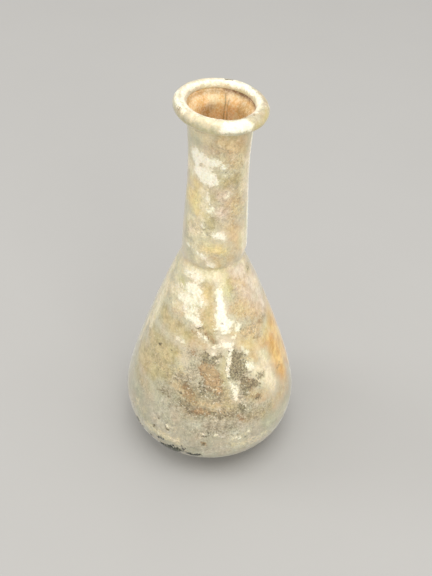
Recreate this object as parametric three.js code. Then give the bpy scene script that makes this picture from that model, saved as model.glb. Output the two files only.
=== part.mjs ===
// Perfume flask of free-blown glass, about 110 mm tall: a pear-shaped body on a small flat foot,
// pinched in at the base of a slender neck, and ended at the top by a thick rolled rim. It was
// blown from one gather of glass, so it is one piece: a hollow vessel, empty and open at the mouth.
// Millimetres, +Z up; the origin is under the centre of the body, on the surface it stands on.

import * as THREE from 'three';
import { mergeVertices } from 'three/addons/utils/BufferGeometryUtils.js';

// Driving dimensions of the outside.
const RIM_HEIGHT = 110; // top of the rim, in line with the neck's axis
const BELLY_RADIUS = 24.75;
const BELLY_HEIGHT = 15; // of the widest girth
const PINCH_RADIUS = 8.05; // the crease between shoulder and neck
const PINCH_HEIGHT = 65.5;
const SHOULDER_SLOPE = THREE.MathUtils.degToRad(63.7); // of the wall just under the crease
const SWELL_RADIUS = 8.4; // the neck swells a little just above the crease
const SWELL_RISE = 3;
const WAIST_RADIUS = 7.45; // the slimmest part of the neck
const WAIST_SHARE = 0.613; // how far up the neck that is
const NECK_TOP_RADIUS = 7.85;
const ROLL_RING_RADIUS = 9.6; // centre line of the rolled rim
const ROLL_HALF_WIDTH = 1.67;
const ROLL_HALF_HEIGHT = 1.75;

// The foot is a flat ring round a shallow hollow.
const FOOT_RADIUS = 9.5;
const HOLLOW_RADIUS = 6;
const HOLLOW_DEPTH = 0.8;

// Thickness of the walls.
const BODY_WALL = 1.5;
const FLOOR_WALL = 2.6;
const NECK_WALL = 1.8;

// Hand work left the upper part out of true: the neck stands a little to +X of the body's centre,
// leans on towards +X, and the rim dips on that side.
const NECK_SHIFT = 0.35;
const NECK_LEAN = 0.95;
const RIM_DIP = THREE.MathUtils.degToRad(4.3);

// Fineness of the facets.
const FACETS_AROUND = 48;
const STEPS_ON_BODY_CURVE = 9;
const STEPS_ON_NECK_CURVE = 4;
const STEPS_ON_ROLL = 12;

const neckLength = RIM_HEIGHT - PINCH_HEIGHT;
const swellHeight = PINCH_HEIGHT + SWELL_RISE;
const waistHeight = PINCH_HEIGHT + WAIST_SHARE * neckLength;
const neckTopHeight = RIM_HEIGHT - 2.4 * ROLL_HALF_HEIGHT; // the neck flares out above this
const rollHeight = RIM_HEIGHT - ROLL_HALF_HEIGHT;

// Every point of the section is a radius and a height.
const at = (radius, height) => new THREE.Vector2(radius, height);

// A smooth curve between two points, leaving and arriving along the two given offsets.
function bend(from, leave, arrive, to) {
  const leaving = at(from.x + leave[0], from.y + leave[1]);
  const arriving = at(to.x + arrive[0], to.y + arrive[1]);
  return new THREE.CubicBezierCurve(from, leaving, arriving, to);
}

// One skin of the body, bottom to top: out from the foot, round the belly, and up the shoulder.
function bodySkin(foot, belly, pinch) {
  const upUnderPinch = 11.7; // length over which the shoulder's slope is held
  const shoulder = [
    upUnderPinch * Math.cos(SHOULDER_SLOPE),
    -upUnderPinch * Math.sin(SHOULDER_SLOPE),
  ];
  const roundness = 0.85 * (belly.y - foot.y); // of the belly below its girth
  return [
    { curve: bend(foot, [7, 1.9], [0, -roundness], belly), steps: STEPS_ON_BODY_CURVE },
    { curve: bend(belly, [0, 7], shoulder, pinch), steps: STEPS_ON_BODY_CURVE },
  ];
}

// One skin of the neck, bottom to top: crease, swelling, waist, and out again below the rim.
function neckSkin(pinch, swell, waist, top) {
  const rise = waist.y - swell.y;
  const flare = top.y - waist.y;
  return [
    bend(pinch, [(swell.x - pinch.x) / 2, 0.3], [0, -0.55 * (swell.y - pinch.y)], swell),
    bend(swell, [0, 0.4 * rise], [0, -0.4 * rise], waist),
    bend(waist, [0, 0.5 * flare], [0, -0.3 * flare], top),
  ].map((curve) => ({ curve, steps: STEPS_ON_NECK_CURVE }));
}

// A place on the oval section of the rolled rim, by its angle from straight outwards.
function onRoll(angle) {
  return at(
    ROLL_RING_RADIUS + ROLL_HALF_WIDTH * Math.cos(angle),
    rollHeight + ROLL_HALF_HEIGHT * Math.sin(angle),
  );
}

// The outer skin, from the axis under the foot to the innermost point of the lip.
function outerSkin() {
  const underCentre = at(0, HOLLOW_DEPTH);
  const hollowEdge = at(HOLLOW_RADIUS, 0);
  const foot = at(FOOT_RADIUS, 0);
  const belly = at(BELLY_RADIUS, BELLY_HEIGHT);
  const pinch = at(PINCH_RADIUS, PINCH_HEIGHT);
  const swell = at(SWELL_RADIUS, swellHeight);
  const waist = at(WAIST_RADIUS, waistHeight);
  const neckTop = at(NECK_TOP_RADIUS, neckTopHeight);
  const underRoll = THREE.MathUtils.degToRad(245); // where the roll's section leaves the neck
  const roll = new THREE.EllipseCurve(
    ROLL_RING_RADIUS, rollHeight, ROLL_HALF_WIDTH, ROLL_HALF_HEIGHT, underRoll, Math.PI,
  );
  return [
    { curve: bend(underCentre, [HOLLOW_RADIUS / 2, 0], [-1, 0.15], hollowEdge), steps: 3 },
    { curve: new THREE.LineCurve(hollowEdge, foot), steps: 1 },
    ...bodySkin(foot, belly, pinch),
    ...neckSkin(pinch, swell, waist, neckTop),
    { curve: bend(neckTop, [0, 0.9], [-0.7, 0], onRoll(underRoll)), steps: 3 },
    { curve: roll, steps: STEPS_ON_ROLL },
  ];
}

// The inner skin, from the middle of the floor to the same point of the lip.
function innerSkin() {
  const floorCentre = at(0, HOLLOW_DEPTH + FLOOR_WALL);
  const floorEdge = at(FOOT_RADIUS - BODY_WALL / 2, FLOOR_WALL);
  const belly = at(BELLY_RADIUS - BODY_WALL, BELLY_HEIGHT);
  const pinch = at(PINCH_RADIUS - NECK_WALL, PINCH_HEIGHT - 0.5);
  const swell = at(SWELL_RADIUS - NECK_WALL, swellHeight);
  const waist = at(WAIST_RADIUS - NECK_WALL, waistHeight);
  const boreTop = at(NECK_TOP_RADIUS - NECK_WALL, neckTopHeight - 1.5);
  return [
    { curve: bend(floorCentre, [3, 0], [-2, 0], floorEdge), steps: 3 },
    ...bodySkin(floorEdge, belly, pinch),
    ...neckSkin(pinch, swell, waist, boreTop),
    { curve: bend(boreTop, [0, 2], [-0.3, -1.6], onRoll(Math.PI)), steps: 4 },
  ];
}

// The points along a skin, with each joint between two curves taken once.
function pointsAlong(skin) {
  const joined = skin.flatMap(({ curve, steps }) => curve.getPoints(steps).slice(1));
  return [skin[0].curve.getPoint(0), ...joined];
}

// Moves the turned shape's upper part out of true, ring by ring.
function leanNeck(geometry) {
  const position = geometry.attributes.position;
  for (let i = 0; i < position.count; i += 1) {
    const x = position.getX(i);
    const height = position.getZ(i);
    const upNeck = Math.max(height - PINCH_HEIGHT, 0);
    const shift = NECK_SHIFT * Math.min(upNeck / SWELL_RISE, 1);
    const lean = NECK_LEAN * (upNeck / neckLength);
    const dip = RIM_DIP * THREE.MathUtils.smoothstep(height, waistHeight, neckTopHeight);
    position.setX(i, x + shift + lean);
    position.setZ(i, height - x * Math.tan(dip));
  }
}

function makeFlask() {
  const section = [...pointsAlong(outerSkin()), ...pointsAlong(innerSkin()).reverse().slice(1)];
  const turned = new THREE.LatheGeometry(section, FACETS_AROUND);
  turned.rotateX(Math.PI / 2); // the lathe turns about Y; the flask stands along Z
  turned.deleteAttribute('normal');
  turned.deleteAttribute('uv');
  const geometry = mergeVertices(turned, 1e-4);
  leanNeck(geometry);
  geometry.computeVertexNormals();

  const weatheredGlass = new THREE.MeshStandardMaterial({
    color: 0xcfc3a0,
    roughness: 0.4,
    metalness: 0,
  });
  const flask = new THREE.Mesh(geometry, weatheredGlass);
  flask.name = 'flask';
  return flask;
}

const part = new THREE.Group();
part.add(makeFlask());

export default part;
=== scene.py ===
"""An ancient perfume flask of free-blown glass, with its weathered skin, on a plain pale floor.

The flask is drawn as a section, spun and subdivided. Brush strokes then say where centuries in the
ground left films, soil, pits, flaked patches, white scale and dark crust. Each kind colours the
glass and lifts or sinks its surface. Some strokes also paint light and shade: highlights on the
shoulder, the rim's top and the silhouettes, and shade under the rim, in the crease below the neck
and inside the mouth; the bare glass is also painted darker low on the body as shade. Metres, +Z up,
standing on z = 0.
"""

import math
from collections import namedtuple

import bpy
import numpy as np
from bpy.props import FloatProperty, FloatVectorProperty, IntProperty, PointerProperty
from mathutils import Matrix, Vector, noise
from mathutils.geometry import interpolate_bezier


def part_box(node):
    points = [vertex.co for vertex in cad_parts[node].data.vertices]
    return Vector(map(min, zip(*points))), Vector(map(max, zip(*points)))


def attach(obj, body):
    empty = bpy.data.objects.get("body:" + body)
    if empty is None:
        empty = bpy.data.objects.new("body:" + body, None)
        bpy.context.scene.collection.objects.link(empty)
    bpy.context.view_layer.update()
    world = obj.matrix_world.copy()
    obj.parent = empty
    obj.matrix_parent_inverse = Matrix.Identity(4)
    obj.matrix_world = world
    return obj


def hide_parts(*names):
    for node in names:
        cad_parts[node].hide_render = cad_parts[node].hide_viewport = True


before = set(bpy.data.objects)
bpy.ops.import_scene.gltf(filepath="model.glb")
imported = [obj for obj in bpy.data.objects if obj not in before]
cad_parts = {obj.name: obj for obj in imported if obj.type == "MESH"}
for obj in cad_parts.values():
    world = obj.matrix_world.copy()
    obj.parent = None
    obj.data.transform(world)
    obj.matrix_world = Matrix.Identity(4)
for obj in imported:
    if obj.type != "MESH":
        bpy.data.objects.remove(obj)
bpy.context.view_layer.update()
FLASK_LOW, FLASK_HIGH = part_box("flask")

bl_info = {
    "name": "Ancient Perfume Flask",
    "version": (1, 0, 0),
    "blender": (4, 5, 0),
    "location": "3D View > Sidebar > Flask",
    "description": "Models a weathered blown-glass perfume flask and the plain stage it stands on",
    "category": "Add Mesh",
}

MM = 0.001  # one millimetre, in scene units


def srgb(code):
    """The linear colour of an sRGB hex code such as 'F6EFD8'."""
    channels = [int(code[i : i + 2], 16) / 255 for i in (0, 2, 4)]
    return tuple(c / 12.92 if c <= 0.04045 else ((c + 0.055) / 1.055) ** 2.4 for c in channels)


def colour_of(name, description, code):
    return FloatVectorProperty(
        name=name, description=description, subtype="COLOR", default=srgb(code), min=0, max=1
    )


def length_of(name, description, millimetres):
    return FloatProperty(
        name=name, description=description, default=millimetres * MM, unit="LENGTH", precision=5
    )


def angle_of(name, description, degrees):
    return FloatProperty(
        name=name, description=description, default=math.radians(degrees), subtype="ANGLE"
    )


class FlaskForm(bpy.types.PropertyGroup):
    """Sizes of the blown form, taken on the outside of the glass."""

    rim_height: length_of("Rim height", "Top of the rim on the neck's own axis", 110)
    belly_radius: FloatProperty(
        name="Belly radius",
        description="Radius of the widest girth",
        default=(FLASK_HIGH.x - FLASK_LOW.x) / 2,
        unit="LENGTH",
        precision=5,
    )
    belly_height: length_of("Belly height", "Height of the widest girth", 15)
    foot_radius: length_of("Foot radius", "Outer edge of the flat foot ring", 9.5)
    hollow_radius: length_of("Hollow radius", "Radius of the hollow under the foot", 6)
    hollow_depth: length_of("Hollow depth", "Depth of the hollow under the foot", 0.8)
    pinch_radius: length_of("Pinch radius", "Radius at the crease between body and neck", 8.05)
    pinch_height: length_of("Pinch height", "Height of the crease", 65.5)
    swell_radius: length_of("Swell radius", "Radius of the neck just above the crease", 8.4)
    waist_radius: length_of("Waist radius", "Radius of the slimmest part of the neck", 7.45)
    neck_top_radius: length_of("Neck top radius", "Radius of the neck under the rim", 7.85)
    roll_ring_radius: length_of("Rim ring radius", "Centre line of the rolled rim", 9.6)
    roll_half_width: length_of("Rim half width", "Half width of the roll's section", 1.67)
    roll_half_height: length_of("Rim half height", "Half height of the roll's section", 1.75)
    groove_depth: length_of("Rim groove", "Depth of the groove where the rim was folded in", 0.35)
    body_wall: length_of("Body wall", "Thickness of the body's wall", 1.5)
    floor_wall: length_of("Floor", "Thickness of the floor", 2.6)
    neck_wall: length_of("Neck wall", "Thickness of the neck's wall", 1.8)
    neck_shift: length_of("Neck shift", "How far the neck is set off to one side", 0.35)
    neck_lean: length_of("Neck lean", "How much further the neck has leaned at its top", 0.95)
    rim_dip: angle_of("Rim dip", "Dip of the rim towards the side that the neck leans to", 4.3)
    unevenness: length_of("Unevenness", "How far hand work left the form out of round", 0.3)
    ripple: length_of("Ripple", "How uneven the weathered skin is to the touch", 0.09)
    cage_sides: IntProperty(
        name="Cage sides",
        description="Sides of the spun cage, before it is subdivided",
        default=60,
        min=16,
    )


class FlaskFinish(bpy.types.PropertyGroup):
    """Colours of the bare glass and of what dried on its inside. The glass colour also paints shade
    low on the body, the smudge colour a shadow in the rim's groove, and the pit colour a shadow
    beside a scratch.
    """

    # the glass low on the body is also kept darker than the haze above as painted shade
    glass: colour_of("Glass", "Natural blue-green glass, low on the body", "C0BAA1")
    haze: colour_of("Haze", "The same glass under the creamy haze higher up", "E0D7B8")
    lining: colour_of("Lining", "Soil film dried on the inside of the neck", "FBE8C2")
    lining_deep: colour_of("Lining, thick", "The same film where it is thick", "EBC07C")
    # the smudge colour also paints the shadow in the groove under the rim's inner lip
    smudge_and_shadow: colour_of("Smudge", "Darker dirt on the lining and in the rim's groove", "7C5227")
    # the pit colour also paints the shadow line beside the scratch inside the neck
    pit_and_shadow: colour_of("Pit", "Soil caught in the smallest pits", "6A5D42")
    fleck: colour_of("Fleck", "Small flecks of scale", "F5ECD2")


class FlaskStage(bpy.types.PropertyGroup):
    """The floor, the soft light and the place of the camera."""

    floor: colour_of("Floor", "Colour of the plain floor", "B4B2AE")
    room: FloatProperty(
        name="Room light", description="Strength of the even room light", default=0.75
    )
    lens: FloatProperty(
        name="Lens", description="Focal length in millimetres", default=54.13, min=10
    )
    distance: length_of("Distance", "How far in front of the flask's axis the camera is", 176.5)
    height: length_of("Height", "How high above the floor the camera is", 209.9)
    look_down: angle_of("Look down", "Tilt of the view below level", 41.82)
    heading: angle_of("Heading", "Turn of the view to the right", 0.376)
    roll: angle_of("Roll", "Turn of the camera about its view", 1.478)


# ---------------------------------------------------------------- the strokes that weathering left, and the painted highlights and shade among them

# A stroke is (strength, touch, touch, ...). Each touch of the brush is (angle, height, width):
# degrees round the flask from the front, positive to the right, then millimetres. A strength below
# 1 leaves a thin, broken cover, one above 1 a solid one with firmer edges, and a negative one wears
# the layer away again. Above 106 the height goes on round the rolled rim, whose outermost line is
# at 109.4, its top at 112.1 and its inner edge at 114.8.

GREEN_GLASS_AND_SHADE = (
    # this band low on the roll's outside is its greenish glass, and also painted shade under the
    # roll
    (1, (-150, 108.8, 3.6), (-80, 108.8, 3.6), (-20, 108.6, 3), (36, 108, 2.4)),
    (0.55, (-60, 102, 5), (-44, 102.4, 3.6), (-31, 102, 2.4)),
    (0.5, (-60, 74, 4), (-50, 70.6, 3), (-42, 67, 2.4)),
    (0.7, (38, 67.4, 3), (46, 66, 3)),
    (0.5, (-76, 62, 5), (-75, 52, 6)),
    (0.8, (-60, 54.6, 3)),
    (1.4, (-42, 29.4, 2.6), (-35, 29.8, 3), (-27, 29.4, 2.2)),
    (0.8, (-74, 25, 6), (-58, 22, 5)),
    (0.9, (45, 16, 6), (66, 15, 8)),
    (0.9, (-62, 15, 6), (-48, 14, 6)),
    (0.8, (-88, 44, 8), (-88, 28, 8)),
)
TAN_FILM = (
    (1, (4, 103.4, 3), (25, 102, 6), (50, 100, 5)),
    (1, (14, 98.6, 2.4), (34, 97, 4), (48, 96.6, 3)),
    (0.8, (-12, 101.6, 2.4), (-4, 100.4, 1.6)),
    (0.8, (30, 92.8, 4)),
    (1, (26, 88.4, 3), (33, 85.4, 5), (40, 83, 4)),
    (1.4, (30, 86.6, 1.6), (30, 82.4, 1.6)),
    (1, (1, 69, 2.6), (8, 67.6, 3.4), (4, 66, 2.4)),
    (1, (26, 78, 3.4), (44, 75, 5), (50, 71, 4)),
    (0.9, (16, 69, 2), (30, 68.6, 2.4)),
    (1, (34, 61, 4), (50, 60, 5)),
    (0.65, (40, 109.6, 4), (80, 110, 5.6), (130, 109.8, 5)),
    (1, (30, 54, 4), (42, 54, 6), (52, 52, 5), (64, 50, 4)),
    (1.2, (36, 47.6, 3), (46, 46.6, 3.4), (62, 47.4, 2.4)),
    (1.2, (30, 45, 2.6), (40, 42.6, 4), (52, 42, 4)),
    (1, (20, 49, 2), (30, 46.6, 2.4)),
    (1.1, (26, 39, 3), (40, 39.6, 4)),
    (0.8, (32, 28.6, 4), (44, 27.4, 4)),
    (1.3, (-6, 60.6, 2.4), (-4, 56, 3.6), (-2, 51, 4)),
    (0.9, (-30, 53, 1.6), (-46, 52.8, 1.6)),
    (0.9, (-22, 47, 3), (-8, 46, 3), (2, 47.4, 2.4)),
    (0.5, (-68, 38, 4), (-63, 29, 5)),
    (0.9, (-22, 33, 5), (-10, 30, 6), (4, 29, 5)),
    (0.7, (-16, 26, 4), (20, 26, 4)),
    (0.6, (48, 22, 4), (72, 22, 6)),
    (1.3, (84, 48, 6), (92, 40, 8), (94, 26, 8)),
)
PINK_FILM = (
    (1, (3, 88, 3), (14, 88, 3.4), (24, 88.6, 2.2)),
    (0.9, (1, 84, 3), (10, 82.6, 4), (18, 83, 3)),
    (0.3, (20, 76, 3.6), (40, 75, 4), (58, 71, 6)),
    (0.9, (-13, 76.4, 2.2), (-4, 76, 2)),
    (0.8, (-44, 91.2, 1.8), (-24, 91, 1.6)),
    (0.9, (-29, 100.4, 1.4), (-12, 99.8, 1.4)),
    (1, (32, 65, 3), (60, 63, 5), (74, 58, 6), (76, 50, 5)),
    (0.75, (36, 60, 3.4), (52, 57, 5), (62, 52, 4)),
    (0.9, (5, 48, 2.4), (11, 46.8, 2.2)),
    (0.4, (-11, 18, 4), (-2, 17, 3), (8, 16, 3)),
    (0.8, (22, 28.6, 4), (24, 24, 4)),
    (0.3, (-26, 22, 4), (-12, 24, 3)),
)
OLIVE_FILM_AND_SHADE = (
    # painted shade: a darker band round the neck just under the rolled rim
    (0.8, (-180, 105.2, 1.8), (0, 105.2, 1.6), (180, 105.2, 1.8)),
    (1, (-11, 88.4, 2.2), (-5, 87.4, 1.6), (-1, 85.8, 1)),
    (1, (-18, 81, 2.2), (-11, 80.4, 3), (-6, 79, 2.2)),
    (1, (-16, 77.4, 1.8), (-12, 77, 1.4)),
    (0.9, (2, 93, 3), (12, 91.8, 3.6), (24, 92, 3), (36, 91.6, 3)),
    (0.4, (-38, 67, 2), (-24, 67.4, 2.4), (-14, 66.4, 2)),
    # painted shade: a dark line in the crease under the neck's swelling
    (0.7, (-50, 65.5, 1), (0, 65.4, 1.6), (50, 65.5, 1.2)),
    (0.9, (-58, 49, 5), (-40, 48, 5.6), (-26, 47.6, 4), (-16, 48, 2.4)),
    (1.2, (-8, 61, 2.4), (-5, 57, 3), (-4, 54, 2)),
    (0.5, (-70, 27, 5), (-52, 26, 5)),
    (1, (-9, 53, 2.2), (-6, 51, 2.4), (-2, 48.6, 1.8), (5, 47.2, 1.2)),
    (1, (-66, 41, 5), (-55, 40, 8), (-40, 40, 7)),
    (1, (-72, 33, 7), (-52, 34, 8), (-40, 35, 6)),
    (0.9, (30, 22.6, 3.4), (42, 21.4, 4)),
    (1, (12, 42, 2), (10.5, 35, 3), (12, 30, 3.4), (17, 26, 3)),
    (0.8, (29, 60.2, 1.4), (33, 60, 1.2)),
    (0.9, (70, 62, 2), (76, 61.6, 1.6)),
)
GOLD_FILM_AND_SHADE = (
    (1, (-60, 86, 5), (-44, 85.6, 6), (-34, 84.4, 5), (-27, 82.6, 3.4)),
    (0.9, (-60, 91, 3), (-40, 89.4, 2.6)),
    (0.6, (-60, 94.4, 3), (-50, 94, 2)),
    (1, (-18, 72.2, 2.4), (-6, 72.4, 3.6), (10, 72, 3.2), (18, 71.4, 2)),
    (0.6, (1.5, 59, 1.4), (1, 51, 1.8)),
    (0.9, (-20, 59, 1.6), (-9, 58.8, 1.8)),
    (0.4, (-28, 41, 4), (-24, 36, 3)),
    (0.5, (34, 44, 3), (48, 44.4, 4)),
    (0.6, (62, 43.4, 4), (82, 44, 5)),
    # these two bands under the roll are its yellow glass, and also painted shade under the roll's
    # overhang
    (0.9, (40, 107.4, 2.6), (75, 108.4, 4), (125, 108.2, 3)),
    (0.8, (-70, 107.4, 2), (-20, 107.6, 1.8), (0, 107.4, 1.6)),
)
GREEN_HAZE = (
    (1, (16, 64, 3), (19, 61, 4), (23, 58.6, 3.4)),
    (0.8, (-60, 77.6, 2.4), (-50, 78.4, 1.8)),
    (0.8, (-50, 60, 3), (-28, 59.8, 2.6)),
    (0.4, (11, 38, 1.6), (11, 32, 2)),
    (0.6, (40, 109.4, 4), (70, 109.4, 4.6), (120, 109, 4)),
    (0.6, (-60, 109, 2.4), (-10, 108.6, 2)),
)
AMBER_STAIN = (
    (1, (67, 40, 5), (70, 36, 8), (73, 30, 7)),
    (0.35, (60, 41, 4), (58, 36, 5)),
    (1.2, (70, 30, 5), (72, 26.6, 4)),
    (1, (82, 41, 7), (86, 31, 8)),
)
CHALK_FILM = (
    (1, (42, 109.6, 5), (80, 110, 6), (135, 109.8, 5.6)),
    (0.6, (-50, 112, 3), (-20, 112, 3)),
    (0.9, (-36, 26, 3.4), (-31, 23.4, 5), (-40, 20, 6), (-30, 17, 6)),
    (0.9, (-14, 21.6, 4), (0, 21.4, 4), (14, 18, 5), (27, 19.6, 4)),
    (0.8, (0, 12, 7), (30, 13, 8), (52, 11, 7)),
    (0.8, (-52, 12, 8), (-68, 16, 6)),
    (0.8, (-16, 14, 6)),
    (0.6, (-40, 94, 2), (-22, 94, 2)),
)
CREAM_FILM_AND_HIGHLIGHTS = (
    (0.9, (-58, 97.6, 2.6), (-46, 97.6, 3)),
    (0.8, (-52, 93.4, 3), (-30, 92.8, 3), (-14, 93, 3)),
    (0.9, (-58, 78, 1.4), (-40, 78.6, 1.4), (-25, 79.2, 2)),
    (0.95, (-46, 75.8, 3.4), (-24, 76.6, 3.4)),
    (0.9, (-30, 83, 2), (-23, 80.4, 2.6)),
    (0.7, (-21, 87.2, 2.2), (-13, 86.6, 1.6)),
    (0.9, (60, 96, 4), (57, 88, 3)),
    # painted highlight: a bright line along the neck's right silhouette
    (1, (82, 104, 2.6), (84, 86, 2.8), (82, 69, 2.6)),
    (0.6, (58, 103, 2), (58, 84, 2.4), (58, 70, 2)),
    (0.6, (2, 79, 2), (16, 79.2, 2)),
    (1, (0, 76.4, 2.2), (14, 76.2, 2.4)),
    (0.8, (-21, 74, 1.6), (-9, 74.4, 1.4)),
    (0.8, (-36, 71, 2), (-22, 70.6, 2.4), (-10, 68.6, 2.6), (-2, 67.6, 2.6)),
    (0.8, (-60, 72, 2), (-46, 71, 1.8)),
    (0.8, (-52, 78, 2.4), (-34, 74, 3), (-30, 68.6, 3)),
    (1, (-72, 94.4, 4), (-54, 93, 3.4)),
    (1, (66, 75, 5), (68, 69, 4)),
    (0.6, (66, 99, 3), (64, 92, 3)),
    (0.6, (-24, 99.6, 2), (-18, 99, 2)),
    (1, (-26, 89, 3), (-22, 84, 3)),
    (0.6, (26, 94.6, 2), (44, 94, 2.4)),
    (0.9, (-56, 79.6, 2.6), (-34, 79.6, 2.6)),
    (0.6, (-56, 103.6, 3), (-20, 103.4, 3)),
    (0.8, (50, 39, 3.4), (52, 35, 4)),
    (0.7, (-70, 63, 3), (-56, 58, 3), (-54, 54, 2.4)),
    (0.6, (30, 99, 3), (40, 97.6, 3)),
    (0.7, (48, 82.4, 1.6)),
    (0.6, (38, 77, 1.4), (50, 75.8, 1.6)),
    (0.9, (-50, 64, 3), (-30, 64, 4), (-14, 63.8, 3.4), (6, 63.6, 3)),
    (1, (-50, 57.6, 3.6), (-30, 57.4, 5), (-14, 57, 4)),
    (0.8, (-62, 57, 2.6), (-56, 54, 2.4), (-44, 54, 3.4), (-36, 53.4, 2.4)),
    (0.6, (-58, 59.4, 3), (-46, 59, 3)),
    (0.7, (28, 66, 2), (50, 65.6, 2), (66, 64.6, 3.4), (76, 61, 3)),
    (0.9, (-78, 56, 4), (-75, 43, 4)),
    # painted highlight: a small pink-white glint on the left of the body
    (1, (-34, 45.7, 1), (-24, 45.2, 1)),
    (0.6, (27, 45.6, 1.6), (31, 43.4, 2), (38, 41.8, 1.6)),
    (0.9, (37, 37.6, 3), (43, 34.6, 5), (52, 31, 6), (54, 27.6, 4)),
    (0.5, (-64, 18.6, 3), (-50, 18.6, 3)),
    (0.3, (-42, 18.6, 3), (-24, 18.4, 3)),
    (0.8, (-44, 14.2, 3.4), (-30, 14.2, 3), (-20, 14.2, 2.4)),
    (0.5, (16, 13.4, 4), (42, 13, 4)),
    (0.5, (15, 17, 2.4), (25, 16.8, 2.4)),
    (0.9, (78, 57, 3), (84, 56, 3)),
    # painted highlight: a bright line along the body's left silhouette
    (0.9, (-86, 62, 2.4), (-84, 46, 2.4), (-86, 34, 2)),
    (0.8, (-180, 113, 3.4), (-100, 112, 3.2), (-10, 112, 3.4), (4, 110.8, 4), (34, 111, 4)),
    (0.6, (-74, 64, 3), (-56, 62.6, 3)),
    (0.8, (34, 113.8, 1.6), (90, 113.8, 1.8), (120, 113.4, 2.2), (150, 112, 4), (180, 113.4, 3.4)),
)
GREY_PITTING = (
    (0.7, (-36, 95.8, 1.4), (-25, 95.3, 1.4)),
    (0.8, (-24, 35, 4), (-10, 32, 7), (4, 31, 6)),
    (0.75, (-26, 28, 4), (-14, 26.4, 5), (6, 24.4, 5), (26, 25.6, 5)),
    (0.7, (24, 31, 5)),
    (1, (0, 21.4, 3), (17, 20.8, 3)),
    (0.8, (30, 22.4, 4), (44, 22, 4)),
    (0.4, (-30, 23.6, 3.4), (-16, 23, 3.4)),
    (0.5, (-12, 18.8, 2.4), (14, 18.4, 2.4)),
    (0.4, (-50, 37, 4), (-34, 33, 4)),
    (0.7, (-18, 43, 3.4), (-11, 42, 3.6), (-14, 37, 4)),
    (0.45, (34, 48.4, 3.6), (42, 46.6, 3.4), (62, 47.6, 1.6)),
    (0.8, (29, 40.4, 3), (31, 36.6, 3.6)),
    (0.8, (-41, 29.4, 2.4), (-27, 29.2, 2.2)),
)
BROWN_SOIL = (
    (1, (-4, 40, 3), (0, 37.6, 4.6), (3, 34.6, 4.4), (6, 32.6, 3)),
    (0.7, (-18, 32.6, 2.4), (-15, 30.6, 3.6), (-13, 29, 2.6)),
    (1, (-9, 26, 1.6), (-4, 26, 2), (0, 25.8, 1.3)),
    (0.9, (-5, 48.6, 1.2), (4, 47, 1.3)),
    (0.65, (-20, 48.8, 1), (-13, 49.2, 0.8)),
    (1, (29, 33.4, 2.4), (34, 31.8, 3)),
    (1, (34, 28.2, 1.2), (38, 27.4, 1.5)),
    (0.8, (21, 23.6, 1.5), (24, 22.8, 1.3)),
    (0.8, (-2.6, 15.4, 1.5)),
    (0.9, (65, 30.4, 1.1), (68, 30.4, 0.8)),
    (0.7, (58, 47.8, 1), (67, 47.4, 1)),
    (0.6, (46, 44.6, 0.8), (55, 44.2, 0.8)),
    (0.7, (-16, 43.4, 1.8)),
    (0.7, (-65, 111, 0.7), (-60, 110.6, 0.5)),
    (0.8, (37, 113, 0.3), (38.5, 111.4, 0.4)),
    (0.8, (37, 113, 0.4), (58, 113.4, 0.5)),
)
DARK_FLAKING = (
    (1, (20, 43.6, 1.6), (22, 41.6, 4), (26, 41.6, 3)),
    (1, (20, 39.4, 3.8), (22, 37, 4.6), (25, 36.4, 3)),
    (0.7, (29, 39.8, 2), (31, 36.6, 1.8)),
    (1, (27, 35, 1.6), (30, 32.6, 3), (29, 30.6, 1.8)),
    (0.9, (34, 32, 2.6), (38, 31.6, 2.2)),
    (0.8, (42, 33.4, 1.5), (46, 33, 1.1)),
    (1, (-5, 42.6, 2), (-3, 41.2, 2.4), (4, 41.4, 2), (7, 42.8, 1.4)),
    (0.9, (-13, 50.4, 1), (-9, 49.9, 0.9)),
    (0.6, (-8, 34, 1.4), (-5, 33, 1.8), (-7, 31.4, 1.2)),
    (0.8, (-22, 28.4, 0.9), (-17, 27, 1.1), (-14, 25.2, 0.9)),
    (0.8, (-37, 28.6, 1.4), (-31, 28, 1)),
    (0.9, (2, 25.8, 0.9), (6, 25, 1.2), (12, 24.6, 1.2), (16, 23.8, 0.9)),
    (0.9, (23, 26.6, 1), (25, 24.8, 1)),
    (0.8, (28, 22.6, 0.9)),
    (0.9, (36, 27.3, 1), (38, 27, 0.9)),
    (0.7, (73, 62, 1.4)),
)
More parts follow.
